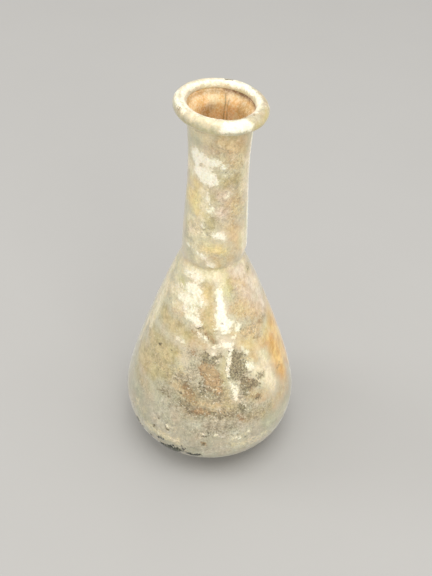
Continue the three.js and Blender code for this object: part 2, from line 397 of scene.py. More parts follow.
WHITE_SCALE_AND_HIGHLIGHTS = (
    (1.4, (-50, 98.2, 2.4), (-40, 98.6, 3), (-28, 97.8, 2.8), (-14, 97.5, 2.2), (-4, 97.4, 1.6)),
    (1.4, (-42, 94.4, 2.6), (-28, 93.6, 3.6), (-14, 93, 3.2), (-6, 92.2, 2.2)),
    (1.4, (-44, 97, 3), (-34, 95.4, 4), (-22, 95.2, 2.8)),
    (-0.75, (-35, 96.2, 0.6), (-26, 95.9, 0.5)),
    (-0.7, (-33, 95, 0.5), (-25, 94.8, 0.4)),
    (-0.8, (-13, 95.7, 0.5), (-4, 95.3, 1.2)),
    (1, (9, 96.5, 0.9), (14, 96.4, 1)),
    (0.7, (15, 93.6, 0.7), (21, 93.3, 0.8)),
    (0.9, (19, 89.4, 0.9), (22, 88.8, 0.8)),
    (0.9, (15, 88, 0.9), (17, 87.8, 0.8)),
    (0.9, (-17, 84, 1.3), (-12, 83.6, 1.8), (-7, 84.3, 1.1)),
    (0.8, (-14, 86.4, 0.9), (-12, 84.6, 0.8)),
    (1, (-20, 86.6, 1.5), (-17, 88.4, 1.2)),
    (0.9, (-24, 79, 1.4)),
    (1.3, (1, 76.7, 1.4), (7, 76.6, 2.2), (13, 75.9, 1.4)),
    # painted highlight: a bright line along the neck's right silhouette
    (1.4, (78, 104, 1.8), (79, 86, 2), (78, 69, 1.8)),
    (1.2, (-56, 71.6, 0.8), (-40, 70.8, 0.9), (-26, 70.4, 1.1), (-15, 69.1, 1.3)),
    (1, (-15, 69.1, 1.2), (-9, 67.9, 1.3), (-4, 67.2, 1.4)),
    (0.6, (47, 82.5, 0.9)),
    # these nine strokes on the shoulder are white scale, and also a painted highlight of the front
    # light on it
    (0.75, (-45, 63, 2), (-30, 63.2, 3.2), (-18, 62.4, 2.4)),
    (0.7, (-56, 58.4, 1.4), (-40, 59, 1.6)),
    (0.85, (-42, 56.8, 2.6), (-30, 57, 3.2), (-14, 56.8, 2.4)),
    (1, (-27, 52.4, 2), (-19, 52.4, 3), (-14, 51.6, 2.2)),
    (0.8, (-34, 54.6, 1.6), (-18, 54.6, 2)),
    (1, (-32, 60, 3), (-22, 59.6, 3)),
    (1.1, (9, 60.4, 1.2), (11, 57.4, 2.2), (12, 54.4, 2.8), (13, 51.8, 3.2)),
    (1, (15, 49.8, 2.6), (20, 51.2, 2.8), (25, 51.2, 1.4)),
    (0.65, (5.5, 54, 1.4), (6, 50, 1.8)),
    (0.7, (8, 47.8, 1.6), (12, 46.9, 1.2)),
    (1, (31, 50.2, 1.1), (28, 48.8, 1.3)),
    (0.9, (27, 47.9, 1.1), (23, 47, 1)),
    (1, (-13, 49.1, 0.8), (-9, 48.3, 0.9)),
    (1, (-6, 48.2, 0.7), (-3, 47, 0.9), (-1, 45.6, 1), (4, 45.2, 1)),
    (1, (8, 45.6, 0.8), (18, 45.4, 1.2)),
    # painted highlight: a small pink-white glint on the left of the body
    (0.9, (-34, 45.8, 0.6), (-25, 45.2, 0.6)),
    (1, (20.5, 45.6, 1.1), (18.5, 43.6, 1.3), (16.5, 41, 1), (15.5, 38.6, 0.8), (16, 36.4, 0.5)),
    (1, (16.4, 35, 0.6), (18.4, 33, 1.3), (20.4, 31, 1.9), (20.4, 29.4, 0.9)),
    (0.9, (1, 43.6, 0.6), (3.6, 43.2, 0.8)),
    (0.8, (7, 41.4, 0.8)),
    (0.7, (-1, 42, 0.5)),
    (0.95, (34, 38, 1.6), (38, 37, 2.4)),
    (0.7, (30, 43.6, 0.9), (35, 41.4, 0.9)),
    (0.8, (-3.6, 18.9, 0.5)),
    (0.7, (5, 18.6, 0.7)),
    (0.9, (-28.6, 18.6, 0.9)),
    (0.9, (15.5, 16.8, 0.9), (21, 16.4, 1.4)),
    (0.8, (27, 17.8, 0.9)),
    (1.2, (8, 110.4, 3.2), (32, 110.8, 3.4)),
    # these three bands along the roll's top are white scale, and also a painted highlight where the
    # top faces the overhead light
    (1, (-100, 111.6, 1.6), (-50, 111.6, 1.4)),
    (1, (-180, 113.2, 2), (-60, 113, 1.6), (0, 113, 1.6)),
    (1.1, (38, 113.8, 0.6), (80, 113.4, 1.2), (130, 113, 1.6), (180, 113, 2)),
    (0.8, (84, 111.4, 1), (92, 110.4, 0.8)),
)
SOIL_SPOTS = (
    (1, (12, 51.6, 0.7)),
    (0.8, (14, 94.8, 0.6), (16, 94.3, 0.5)),
    (0.8, (12, 92.6, 0.6), (11, 91.6, 0.5)),
    (0.8, (-20, 77.2, 0.5), (-14, 76.8, 0.5)),
    (0.8, (-31, 77, 0.6)),
    (0.8, (-47, 73.6, 0.9)),
    (0.9, (-36.5, 19.5, 0.8)),
    (1, (-29, 19.8, 0.5), (-31, 18.6, 0.5), (-29.5, 17.3, 0.5), (-27, 17.4, 0.5)),
    (1, (-39, 16.3, 0.7), (-40, 15.2, 0.5)),
    (1, (-4, 18, 0.4), (-1, 18, 0.4), (0.5, 18.9, 0.5), (-1, 19.8, 0.5)),
    (1, (20, 17.6, 0.8)),
    (1, (24.6, 15.8, 0.8)),
    (1, (-3, 15.4, 0.7), (-3, 14.6, 0.6)),
    (0.9, (8, 18.3, 0.5)),
    (0.9, (7, 17.4, 0.5)),
    (0.8, (-52, 40.8, 1), (-50, 41.4, 0.6)),
    (0.8, (-37, 41.4, 0.8)),
    (0.8, (-15, 43, 0.7)),
    (0.9, (-24, 30.8, 0.8), (-21, 30.4, 0.6)),
    (0.9, (-30, 28, 0.7)),
    (0.9, (-13, 31.6, 0.7)),
    (0.9, (-6, 28.6, 0.6)),
    (0.9, (-9, 37, 0.6)),
    (0.9, (36, 27.2, 0.9), (38, 26.8, 0.6)),
    (0.9, (66, 30.2, 0.6)),
    (0.9, (10, 26.8, 0.6)),
    (0.9, (-38, 24.6, 0.6)),
    (0.8, (24, 22.4, 0.6)),
    (0.9, (166, 112, 0.8), (174, 112.2, 0.9)),
)
DARK_CRUST = (
    (0.9, (-36, 11.8, 0.7), (-32, 12.2, 0.5)),
    (1.2, (-36, 8.8, 1.4), (-30, 8.8, 2.8), (-22, 9.8, 3), (-17, 10.4, 1.6)),
    (1, (-29, 7.6, 1.6), (-22, 8.2, 1.2)),
    (0.8, (-24, 11.6, 0.5), (-21, 12, 0.4)),
    (0.9, (-18, 12, 0.8), (-15, 11.8, 0.6)),
    (0.9, (-14, 9.2, 1.2), (-8, 8.9, 1.4), (-4, 8.8, 0.8)),
    (0.8, (-46, 9.6, 0.6), (-42, 10, 0.8)),
    (0.7, (-60, 12, 0.9), (-54, 10.4, 0.9)),
)
SPECKLING = (
    (0.9, (-4, 101, 4), (20, 99, 7), (34, 93, 7), (36, 82, 7)),
    (0.8, (4, 90, 5), (14, 82, 6)),
    (1, (-44, 77, 3), (-14, 78, 5)),
    (0.7, (-40, 73, 3), (14, 70, 5)),
    (0.6, (-56, 86, 4), (-32, 86, 4)),
    (0.7, (-60, 55, 4), (-30, 52, 4)),
    (0.7, (-12, 52, 3), (2, 46, 4)),
    (0.8, (28, 60, 5), (46, 50, 8)),
    (0.6, (-66, 40, 8), (-34, 40, 8)),
    (1, (-30, 36, 6), (4, 33, 9), (24, 30, 8)),
    (1, (-34, 27, 6), (0, 25, 6), (28, 25, 6)),
    (0.8, (-34, 20, 6), (26, 19, 7)),
    (0.7, (-62, 14, 8), (-20, 13, 8), (40, 13, 8)),
    (0.7, (-60, 25, 6), (-40, 24, 5)),
    (0.7, (-56, 33, 6), (-40, 34, 5)),
)
LINING_SCRATCH_AND_SHADOW = (
    # two dark lines: a scratch, and its shadow painted beside it
    (0.9, (172, 107.4, 0.16), (169.5, 105.4, 0.16), (172, 103, 0.16), (171, 95, 0.2)),
    (0.7, (163, 106.6, 0.14), (165, 104.6, 0.14), (164, 98, 0.16)),
)
LINING_SMUDGE_AND_SHADOW = (
    (0.5, (203, 104.5, 2), (218, 103.4, 2.6)),
    (0.4, (80, 105.6, 3.2), (128, 105.6, 3.2)),
    # painted shadow: dark lines in the groove under the rim's inner lip
    (0.9, (-180, 107.8, 0.5), (0, 107.8, 0.5), (180, 107.8, 0.5)),
    (1.5, (88, 108.2, 0.4), (140, 108.1, 0.9), (176, 108.1, 0.6)),
    (0.7, (168, 107.6, 0.9), (230, 107.7, 0.5)),
)

# Each layer of weathering, from the lowest to the topmost. White scale, scale haze and cream film
# also carry painted highlights, and green glass, olive film and gold film painted shade, in the
# strokes marked so. light and dark are the ends of its own mottling, which is grain mm coarse. It
# is lighter where it is thick. soft is how many mm its edge takes to fade, torn is how ragged that
# edge is, and dusty is how far it breaks up into specks there. cover is how opaque the layer is,
# rough is its roughness, and lift is how far it stands above the glass in mm, or lies below it
# where the skin has flaked off.
Layer = namedtuple("Layer", "strokes light dark grain soft torn dusty cover rough lift")
LAYERS = {
    "green_glass_and_shade": Layer(GREEN_GLASS_AND_SHADE, "C2BEA1", "A19F83", 2.0, 4.5, 0.8, 0.4, 0.85, 0.3, 0.0),
    "chalk_film": Layer(CHALK_FILM, "D0CAB4", "AAA38C", 1.2, 5.0, 0.8, 0.6, 0.8, 0.45, 0.0),
    "tan_film": Layer(TAN_FILM, "DFC898", "C0A06E", 1.4, 4.5, 0.8, 0.5, 0.9, 0.42, 0.0),
    "pink_film": Layer(PINK_FILM, "EFDFC8", "CDB89C", 1.3, 4.5, 0.8, 0.5, 0.9, 0.45, 0.0),
    "olive_film_and_shade": Layer(OLIVE_FILM_AND_SHADE, "D0BF8E", "A99868", 1.5, 4.0, 0.8, 0.5, 0.9, 0.4, 0.0),
    "gold_film_and_shade": Layer(GOLD_FILM_AND_SHADE, "F6E2A4", "DCC482", 1.5, 4.0, 0.8, 0.4, 0.9, 0.36, 0.0),
    "green_haze": Layer(GREEN_HAZE, "D9D19C", "BCB374", 1.5, 3.5, 0.8, 0.6, 0.75, 0.3, 0.0),
    "amber_stain": Layer(AMBER_STAIN, "F4D080", "D29C44", 3.0, 7.0, 0.3, 0.15, 1.0, 0.3, 0.0),
    "cream_film_and_highlights": Layer(CREAM_FILM_AND_HIGHLIGHTS, "F6EACA", "DCCEA4", 1.0, 3.0, 1.0, 0.9, 0.88, 0.38, 0.03),
    "scale_haze_and_highlights": Layer(WHITE_SCALE_AND_HIGHLIGHTS, "F5ECD0", "DDD1B0", 0.8, 4.0, 1.0, 1.0, 0.55, 0.4, 0.02),
    "grey_pitting": Layer(GREY_PITTING, "B7AB8D", "7A7057", 0.6, 4.0, 1.0, 1.4, 0.8, 0.6, -0.04),
    "soil_haze": Layer(
        BROWN_SOIL + DARK_FLAKING, "B29F78", "80704C", 0.6, 3.6, 1.0, 1.4, 0.55, 0.6, -0.03
    ),
    "brown_soil": Layer(BROWN_SOIL, "C9A97C", "957650", 0.6, 2.0, 1.2, 1.4, 0.85, 0.75, 0.05),
    "dark_flaking": Layer(DARK_FLAKING, "B0A580", "4E4530", 0.5, 1.8, 1.5, 1.7, 0.88, 0.65, -0.12),
    "white_scale_and_highlights": Layer(WHITE_SCALE_AND_HIGHLIGHTS, "FFFAE6", "ECE2C2", 0.6, 1.4, 1.4, 1.3, 0.95, 0.42, 0.1),
    "dark_crust": Layer(DARK_CRUST, "33371F", "0B0D06", 0.6, 1.4, 1.5, 1.6, 0.98, 0.8, 0.3),
    "soil_spots": Layer(SOIL_SPOTS, "7E7352", "463C28", 0.6, 1.4, 0.5, 0.3, 0.9, 0.7, -0.15),
}
FAR_SIDE_STRENGTH = 0.8  # the hidden side is weathered alike, and more plainly
FAR_SIDE_SPREAD = 0.9  # its strokes lie a little closer together
RIM_START = 106  # where the strokes' height begins to go round the rim, in mm
ROLL_START = -115  # where the rolled rim's section leaves the neck, in degrees from straight out
LONG_RUN = 100  # degrees; between touches further apart than this, a stroke runs on to the right


def grain(points, size, seed):
    """Smooth noise between -1 and 1 at each point, with lumps of that size."""
    offset = Vector((seed * 7.3, seed * 3.1, seed * 5.7))  # far enough that no two seeds agree
    return np.array([noise.noise(Vector(p) / size + offset) for p in points])


def skin_places(points, form, outside):
    """The angle from the front, the height along the skin and the radius of each upright point."""
    radius = np.hypot(points[:, 0], points[:, 1])
    angle = np.arctan2(points[:, 0], -points[:, 1])
    height = points[:, 2] / MM
    first = math.radians(ROLL_START)
    roll_height = form.rim_height - form.roll_half_height
    out, up = radius - form.roll_ring_radius, points[:, 2] - roll_height
    turn = np.arctan2(up, out)
    turn = np.where(turn < first, turn + 2 * math.pi, turn)
    unrolled = RIM_START + (turn - first) * form.roll_half_height / MM
    on_roll = (points[:, 2] > (RIM_START + 0.2) * MM) & (outside > 0.5)
    return angle, np.where(on_roll, np.maximum(unrolled, height), height), radius / MM


def with_far_side(strokes):
    """Every stroke, and for the far side of the body and neck a fainter, mirrored one like it."""
    far = []
    for strength, *touches in strokes:
        if max(height for _, height, _ in touches) < RIM_START and touches[0][0] > -180:
            moved = [(180 - FAR_SIDE_SPREAD * a, h, w) for a, h, w in touches]
            far.append((strength * FAR_SIDE_STRENGTH, *moved))
    return (*strokes, *far)


def cover_of(strokes, soft, places, ragged):
    """How strongly strokes cover each point: 0 where it is bare, 1 or more in a thick core."""
    angle, height, radius = places
    cover = np.zeros(len(angle))
    for strength, *touches in with_far_side(strokes):
        gap = np.full(len(angle), np.inf)  # how far each point is outside the stroke, in mm
        for (a0, h0, w0), (a1, h1, w1) in zip(touches, touches[1:] or touches):
            round_by = np.remainder(angle - math.radians(a0) + math.pi, 2 * math.pi) - math.pi
            if abs(a1 - a0) > LONG_RUN:
                round_by = np.remainder(angle - math.radians(a0), 2 * math.pi)
            x, y = round_by * radius, height - h0
            run, rise = math.radians(a1 - a0) * radius, h1 - h0
            length_squared = run * run + rise * rise + 1e-9  # never 0, even for a single touch
            along = np.clip((x * run + y * rise) / length_squared, 0, 1)
            away = np.hypot(x - along * run, y - along * rise) - (w0 + along * (w1 - w0)) / 2
            gap = np.minimum(gap, away)
        touched = np.clip(0.5 - (gap + ragged) / soft, 0, 1)
        if strength > 0:
            cover = np.maximum(cover, strength * touched)
        else:
            cover *= 1 + strength * touched
    return cover


# ---------------------------------------------------------------- modelling

SWELL_RISE = 3 * MM  # from the crease up to the swelling of the neck
WAIST_SHARE = 0.613  # how far up the neck its slimmest part is
FLARE_SHARE = 2.4  # how far below the rim's top the neck flares, in half heights of the roll
OUTER_BODY_STEPS, OUTER_NECK_STEPS = 37, 14  # along the section, before it is subdivided
INNER_BODY_STEPS, INNER_NECK_STEPS = 7, 5


def start_clean():
    """Leaves edit mode, with nothing selected."""
    if bpy.context.object and bpy.context.object.mode != "OBJECT":
        bpy.ops.object.mode_set(mode="OBJECT")
    bpy.ops.object.select_all(action="DESELECT")


def bend(start, leave, arrive, end, steps):
    """Points of a smooth curve after start, leaving and arriving along the two given offsets."""
    start, end = Vector((*start, 0)), Vector((*end, 0))
    handles = start + Vector((*leave, 0)), end + Vector((*arrive, 0))
    return [p.to_2d() for p in interpolate_bezier(start, *handles, end, steps + 1)][1:]


def body_skin(foot, belly, pinch, steps):
    """From the foot round the belly and up the shoulder to the crease."""
    slope, reach = math.radians(63.7), 11.7 * MM  # of the nearly straight shoulder
    shoulder = (reach * math.cos(slope), -reach * math.sin(slope))
    roundness = 0.85 * (belly[1] - foot[1])  # of the belly below its girth
    lower = bend(foot, (7 * MM, 1.9 * MM), (0, -roundness), belly, steps // 3)
    return lower + bend(belly, (0, 7 * MM), shoulder, pinch, steps - steps // 3)


def neck_skin(pinch, swell, waist, top, steps):
    """From the crease over the swelling and the waist to the top of the neck."""
    rise, flare = waist[1] - swell[1], top[1] - waist[1]
    opening = ((swell[0] - pinch[0]) / 2, 0.3 * MM)
    crease = bend(pinch, opening, (0, -0.55 * (swell[1] - pinch[1])), swell, 4)
    lower = bend(swell, (0, 0.4 * rise), (0, -0.4 * rise), waist, steps // 2)
    upper = bend(waist, (0, 0.5 * flare), (0, -0.3 * flare), top, steps - steps // 2)
    return crease + lower + upper


def neck_heights(form):
    """The heights of the swelling, the waist and the top of the neck."""
    swell = form.pinch_height + SWELL_RISE
    waist = form.pinch_height + WAIST_SHARE * (form.rim_height - form.pinch_height)
    return swell, waist, form.rim_height - FLARE_SHARE * form.roll_half_height


def flask_section(form):
    """The section as (radius, height) points from under the foot, over the rim, to the floor
    inside, and how many of them lie on the outside."""
    swell_height, waist_height, neck_top = neck_heights(form)
    roll_height = form.rim_height - form.roll_half_height

    def on_roll(degrees):
        angle = math.radians(degrees)
        return Vector(
            (
                form.roll_ring_radius + form.roll_half_width * math.cos(angle),
                roll_height + form.roll_half_height * math.sin(angle),
            )
        )

    hollow = (form.hollow_radius, 0)
    foot = (form.foot_radius, 0)
    pinch = (form.pinch_radius, form.pinch_height)
    outside = [Vector((0, form.hollow_depth))]
    outside += bend(outside[0], (3 * MM, 0), (-1 * MM, 0.15 * MM), hollow, 3)
    outside += [Vector(foot) * 0.98 + Vector(hollow) * 0.02, Vector(foot)]  # keeps the foot's edge
    outside += body_skin(
        foot, (form.belly_radius, form.belly_height), pinch, OUTER_BODY_STEPS
    )
    outside += neck_skin(
        pinch,
        (form.swell_radius, swell_height),
        (form.waist_radius, waist_height),
        (form.neck_top_radius, neck_top),
        OUTER_NECK_STEPS,
    )
    outside += bend(outside[-1], (0, 0.9 * MM), (-0.7 * MM, 0), on_roll(ROLL_START), 2)
    outside += [on_roll(angle) for angle in range(-90, 175, 22)]
    groove = on_roll(174) + Vector((form.groove_depth, -0.1 * MM))

    floor_centre = (0, form.hollow_depth + form.floor_wall)
    floor_edge = (form.foot_radius - form.body_wall / 2, form.floor_wall)
    inner_pinch = (form.pinch_radius - form.neck_wall, form.pinch_height - 0.5 * MM)
    inside = [Vector(floor_centre)]
    inside += bend(floor_centre, (3 * MM, 0), (-2 * MM, 0), floor_edge, 2)
    inner_belly = (form.belly_radius - form.body_wall, form.belly_height)
    inside += body_skin(floor_edge, inner_belly, inner_pinch, INNER_BODY_STEPS)
    inside += neck_skin(
        inner_pinch,
        (form.swell_radius - form.neck_wall, swell_height),
        (form.waist_radius - form.neck_wall, waist_height),
        (form.neck_top_radius - form.neck_wall, neck_top - 1.5 * MM),
        INNER_NECK_STEPS,
    )
    inside += bend(inside[-1], (0, 2 * MM), (-0.3 * MM, -1.4 * MM), on_roll(184), 5)
    inside += [groove]
    return outside + inside[::-1], len(outside)


def spin_section(section, outside_count, sides):
    """Draws the section by extruding a point, and spins it into a closed shell with true walls."""
    start_clean()
    first = Vector((section[0].x, 0, section[0].y))
    bpy.ops.mesh.primitive_plane_add(size=MM, location=first)
    flask = bpy.context.object
    flask.name = flask.data.name = "weathered_flask"
    bpy.ops.object.transform_apply(location=True, rotation=True, scale=True)
    bpy.ops.object.mode_set(mode="EDIT")
    bpy.ops.mesh.select_all(action="SELECT")
    bpy.ops.mesh.merge(type="CENTER")
    for here, there in zip(section, section[1:]):
        step = (there.x - here.x, 0, there.y - here.y)
        bpy.ops.mesh.extrude_vertices_move(TRANSFORM_OT_translate={"value": step})
    bpy.ops.object.mode_set(mode="OBJECT")
    flask.vertex_groups.new(name="outside").add(range(outside_count), 1.0, "REPLACE")
    flask.vertex_groups.new(name="inside").add(range(outside_count, len(section)), 1.0, "REPLACE")
    bpy.ops.object.mode_set(mode="EDIT")
    bpy.ops.mesh.select_all(action="SELECT")
    bpy.ops.mesh.spin(steps=sides, angle=2 * math.pi, center=(0, 0, 0), axis=(0, 0, 1))
    bpy.ops.mesh.select_all(action="SELECT")
    bpy.ops.mesh.remove_doubles(threshold=0.001 * MM)
    bpy.ops.mesh.normals_make_consistent(inside=False)
    bpy.ops.object.mode_set(mode="OBJECT")
    return flask


def apply_modifier(piece, kind, name, **settings):
    """Adds a modifier with its settings and applies it."""
    modifier = piece.modifiers.new(name, kind)
    for key, value in settings.items():
        setattr(modifier, key, value)
    bpy.context.view_layer.objects.active = piece
    bpy.ops.object.modifier_apply(modifier=modifier.name)


def points_of(piece):
    """Where each vertex of a piece is, a row for each."""
    points = np.empty(len(piece.data.vertices) * 3)
    piece.data.vertices.foreach_get("co", points)
    return points.reshape(-1, 3)


def group_weights(piece, name):
    """The weight of each vertex in a vertex group."""
    group = piece.vertex_groups[name].index
    weights = np.zeros(len(piece.data.vertices))
    for vertex in piece.data.vertices:
        for entry in vertex.groups:
            if entry.group == group:
                weights[vertex.index] = entry.weight
    return weights


def keep_values(piece, name, values):
    """Keeps one value a vertex for the finish to read."""
    attribute = piece.data.attributes.new(name, "FLOAT", "POINT")
    attribute.data.foreach_set("value", values.astype(np.float32))


def group_values(piece, name, values):
    """Keeps one value a vertex as a vertex group, for a modifier to read."""
    group = piece.vertex_groups.new(name=name)
    for index in np.nonzero(values > 0.01)[0]:
        group.add([int(index)], float(values[index]), "REPLACE")
    return group.name


def lump_texture(name, size):
    """Cloudy lumps of that size, for a displacement."""
    texture = bpy.data.textures.new(name, "CLOUDS")
    texture.noise_scale = size
    texture.noise_depth = 2
    return texture


def weather_skin(flask, form):
    """Works out where each layer lies, and lifts or sinks the skin there."""
    points = points_of(flask)
    outside = group_weights(flask, "outside")
    inside = group_weights(flask, "inside")
    places = skin_places(points, form, outside)
    # how far, in mm, the edges of the strokes wander
    ragged = 0.45 * grain(points, 2.4 * MM, 1) + 0.3 * grain(points, 1.1 * MM, 2)
    scratched_and_shaded = cover_of(LINING_SCRATCH_AND_SHADOW, 0.3, places, 0.2 * ragged)
    smudged_and_shaded = cover_of(LINING_SMUDGE_AND_SHADOW, 1.0, places, 0.5 * ragged)
    keep_values(flask, "soil_lining", inside)
    keep_values(flask, "speckling", outside * cover_of(SPECKLING, 6, places, ragged))
    keep_values(flask, "lining_scratch_and_shadow", inside * scratched_and_shaded)
    keep_values(flask, "lining_smudge_and_shadow", inside * smudged_and_shaded)
    lifts = {}
    for name, layer in LAYERS.items():
        cover = outside * cover_of(layer.strokes, layer.soft, places, layer.torn * ragged)
        keep_values(flask, name, cover)
        if layer.lift:
            lifts[group_values(flask, name + "_lift", cover)] = layer.lift
    for group, lift in lifts.items():
        apply_modifier(
            flask, "DISPLACE", group, strength=lift * MM, mid_level=0, vertex_group=group
        )


def lean_neck(flask, form):
    """Moves the upper part out of true, ring by ring, as hand work left it."""
    _, waist, neck_top = neck_heights(form)
    points = points_of(flask)
    height = points[:, 2].copy()
    up_neck = np.maximum(height - form.pinch_height, 0)
    along = np.clip((height - waist) / (neck_top - waist), 0, 1)
    dip = form.rim_dip * along * along * (3 - 2 * along)
    points[:, 2] = height - points[:, 0] * np.tan(dip)
    points[:, 0] += form.neck_shift * np.minimum(up_neck / SWELL_RISE, 1)
    points[:, 0] += form.neck_lean * up_neck / (form.rim_height - form.pinch_height)
    points[:, 2] = np.maximum(points[:, 2], 0)  # the foot stays on the floor
    flask.data.vertices.foreach_set("co", points.ravel())
    flask.data.update()


# ---------------------------------------------------------------- finishes


def add_node(tree, kind, inputs=None, **settings):
    """Adds a node with its settings, and gives its inputs plain values or links."""
    node = tree.nodes.new(kind)
    for key, value in settings.items():
        setattr(node, key, value)
    for key, value in (inputs or {}).items():
        if isinstance(value, bpy.types.NodeSocket):
            tree.links.new(value, node.inputs[key])
        else:
            node.inputs[key].default_value = value
    return node


def edge_width(layer):
    """How slowly a layer gives way at its edge: films fade out, soil and scale end abruptly."""
    if layer.soft > 2:
        return min(0.45, 0.1 + 0.075 * layer.soft)
    return 0.04 + 0.06 * layer.soft


def weathered_glass(finish):
    """Natural glass, free-blown, buried for centuries: hazy and faintly glossy where it is bare,
    and covered in films, soil and flaking scale that hide its green tint and scatter the light.
    Some of those layers also carry painted highlights and painted shade, and the bare glass is
    painted darker low on the body as shade."""
    material = bpy.data.materials.new("weathered_blown_glass")
    material.use_nodes = True
    tree = material.node_tree
    tree.nodes.clear()
    place = add_node(tree, "ShaderNodeTexCoord").outputs["Object"]

    def spots(size, detail=3.0, roughness=0.5, stretch=1.0, shift=0.0):
        """Noise with spots of that size in mm, drawn out upwards by stretch."""
        drawn = {"Location": (shift, shift, shift), "Scale": (1, 1, 1 / stretch)}
        moved = add_node(tree, "ShaderNodeMapping", {"Vector": place, **drawn}).outputs[0]
        pattern = {"Scale": 1 / (size * MM), "Detail": detail, "Roughness": roughness}
        noisy = add_node(tree, "ShaderNodeTexNoise", {"Vector": moved, **pattern})
        return noisy.outputs["Fac"]

    def fade(value, low, high, to_low=0.0, to_high=1.0):
        """A smooth step of value between low and high."""
        ends = {"From Min": low, "From Max": high, "To Min": to_low, "To Max": to_high}
        inputs = {"Value": value, **ends}
        step = add_node(tree, "ShaderNodeMapRange", inputs, interpolation_type="SMOOTHSTEP")
        return step.outputs[0]

    def maths(operation, *values):
        """The outcome of an operation on sockets or plain numbers."""
        inputs = dict(enumerate(values))
        return add_node(tree, "ShaderNodeMath", inputs, operation=operation).outputs[0]

    def blend(factor, a, b, how="MIX"):
        """Colour b over colour a, or multiplied into it."""
        sides = {0: factor, 6: a, 7: b}
        return add_node(tree, "ShaderNodeMix", sides, data_type="RGBA", blend_type=how).outputs[2]

    def roughened(factor, a, b):
        """Roughness b over roughness a."""
        sides = {0: factor, 2: a, 3: b}
        return add_node(tree, "ShaderNodeMix", sides, data_type="FLOAT").outputs[0]

    def attribute(name):
        """What the skin keeps under that name, at each place."""
        return add_node(tree, "ShaderNodeAttribute", attribute_name=name).outputs["Fac"]

    def specks(size, share, shift):
        """Ragged specks of about that size in mm; share is how much of the skin they take up."""
        lumps = spots(size, detail=3, roughness=0.7, shift=shift)
        return fade(maths("ADD", lumps, maths("MULTIPLY", 0.3, share)), 0.66, 0.74)

    # the bare glass: greener and clearer low on the body, hazier above, and also darker low on the
    # body as painted shade
    level = add_node(tree, "ShaderNodeSeparateXYZ", {0: place}).outputs[2]
    haze_start, haze_full, haze_drift = 24 * MM, 50 * MM, 24 * MM
    drifting = maths("MULTIPLY", spots(8, detail=3), haze_drift)
    haze_versus_painted_shade = fade(maths("ADD", level, drifting), haze_start, haze_full)
    colour = blend(haze_versus_painted_shade, (*finish.glass, 1), (*finish.haze, 1))
    streaks = spots(0.9, stretch=7, shift=0.4)
    rough = maths("ADD", 0.24, maths("MULTIPLY", 0.2, streaks))
    bare = 1.0  # how much of the glass nothing covers
    height = maths("MULTIPLY", streaks, 0.2)

    # the layers; their dust is coarser than real dust, so that it shows
    dust = [spots(0.55, detail=3, roughness=0.65, shift=7 + turn) for turn in range(3)]
    for number, (name, layer) in enumerate(LAYERS.items()):
        torn = spots(layer.grain * 2.2, detail=6, roughness=0.62, shift=number * 0.37)
        mottle = spots(layer.grain, detail=4, roughness=0.6, shift=number * 0.53)
        broken = maths("MULTIPLY", maths("SUBTRACT", torn, 0.5), 1.5 * layer.torn)
        dusted = maths("MULTIPLY", maths("SUBTRACT", dust[number % 3], 0.5), 1.6 * layer.dusty)
        laid = attribute(name)
        torn_edge = maths("MULTIPLY", maths("ADD", broken, dusted), fade(laid, 0, 0.3))
        spread = maths("ADD", laid, torn_edge)
        edge = edge_width(layer)
        there = fade(spread, 0.5 - edge, 0.5 + edge, 0, layer.cover)
        thickness = maths("MULTIPLY", laid, 0.3) if layer.lift >= 0 else 0.23
        lightness = fade(maths("ADD", mottle, thickness), 0.55, 0.91)
        own = blend(lightness, (*srgb(layer.dark), 1), (*srgb(layer.light), 1))
        colour = blend(there, colour, own)
        rough = roughened(there, rough, layer.rough)
        bare = maths("MULTIPLY", bare, maths("SUBTRACT", 1.0, there))
        raised = maths("ADD", layer.lift * 5, maths("MULTIPLY", mottle, 0.5))
        height = maths("ADD", height, maths("MULTIPLY", there, raised))

    # soil in the smallest pits and flecks of scale, thickest where the skin is speckled all over;
    # the real ones are mostly under 0.3 mm across, and these are larger, so that they show
    speckling = attribute("speckling")
    scale_haze_and_highlights = attribute("scale_haze_and_highlights")
    pitting = attribute("grey_pitting")
    unscaled = fade(attribute("white_scale_and_highlights"), 0.3, 0.8, 1, 0.2)
    small_pits = specks(0.8, maths("MULTIPLY", maths("MULTIPLY", 0.5, speckling), unscaled), 6.3)
    wide_pits = specks(1.6, maths("MULTIPLY", 0.55, pitting), 5.1)
    pits = maths("MAXIMUM", wide_pits, small_pits)
    soiled = maths("ADD", 0.24, maths("MULTIPLY", 0.24, pitting))
    deep = maths("MULTIPLY", fade(speckling, 0.05, 0.4), soiled)
    colour = blend(maths("MULTIPLY", pits, deep), colour, (*finish.pit_and_shadow, 1))
    scaly = maths("MAXIMUM", speckling, maths("ADD", scale_haze_and_highlights, pitting))
    flecks = specks(0.8, maths("MULTIPLY", 0.34, scaly), 8.7)
    colour = blend(maths("MULTIPLY", flecks, 0.6), colour, (*finish.fleck, 1))
    height = maths("SUBTRACT", height, maths("MULTIPLY", pits, 0.8))
    height = maths("ADD", height, maths("MULTIPLY", flecks, 0.4))

    # cracks where the skin is flaking; the real ones are finer, and these are 1.5 mm apart to show
    cells = {"Vector": place, "Scale": 1 / (1.5 * MM)}
    crazing = add_node(tree, "ShaderNodeTexVoronoi", cells, feature="DISTANCE_TO_EDGE").outputs[0]
    flaking = fade(attribute("soil_haze"), 0.2, 0.7)
    cracked = maths("MULTIPLY", fade(crazing, 0.02, 0.12, 1, 0), flaking)
    colour = blend(maths("MULTIPLY", cracked, 0.25), colour, (*finish.pit_and_shadow, 1))
    height = maths("SUBTRACT", height, maths("MULTIPLY", cracked, 0.8))

